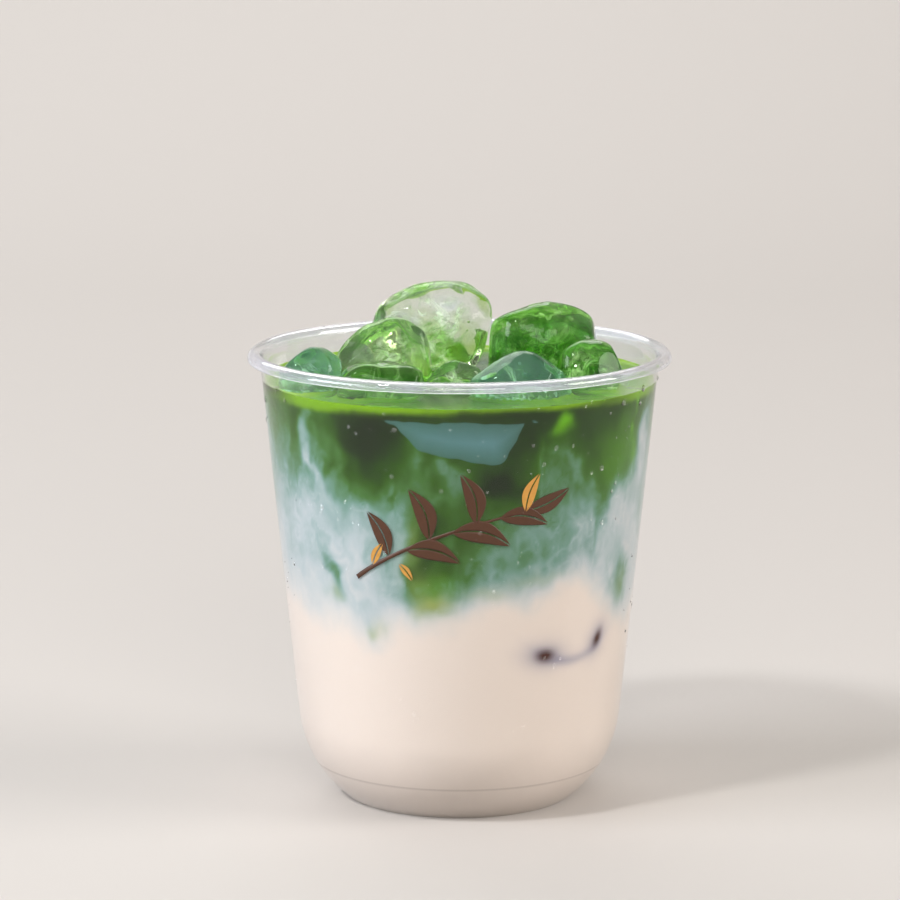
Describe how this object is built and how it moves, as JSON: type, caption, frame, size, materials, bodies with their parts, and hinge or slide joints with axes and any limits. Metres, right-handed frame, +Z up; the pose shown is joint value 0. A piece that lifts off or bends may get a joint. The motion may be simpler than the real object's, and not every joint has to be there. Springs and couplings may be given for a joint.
{
  "type": "iced matcha latte",
  "caption": "Iced matcha latte in a clear round-bottomed cup with a curled lip: matcha floating on milk, melted ice lumps standing above the rim.",
  "frame": {"origin": "middle of the cup's foot, on the surface it stands on", "axes": "+Z up along the cup's axis, -Y towards the shown front, +X to the right of the front"},
  "size_m": [0.098, 0.098, 0.1184],
  "materials": {
    "clear_plastic": "clear glossy thermoformed plastic",
    "milk": "smooth opaque milk",
    "matcha": "deep green matcha, cloudy, with lighter milky veils",
    "ice": "wet melting ice, clear with frosty bubbles"
  },
  "bodies": {
    "root": {"cup": "clear_plastic", "milk": "milk", "matcha": "matcha", "ice_back_left": "ice", "ice_back_right": "ice", "ice_mid_left": "ice", "ice_left": "ice", "ice_front_left": "ice", "ice_middle": "ice", "ice_front_right": "ice", "ice_right": "ice", "ice_rear_left": "ice", "ice_rear_right": "ice"}
  },
  "joints": []
}
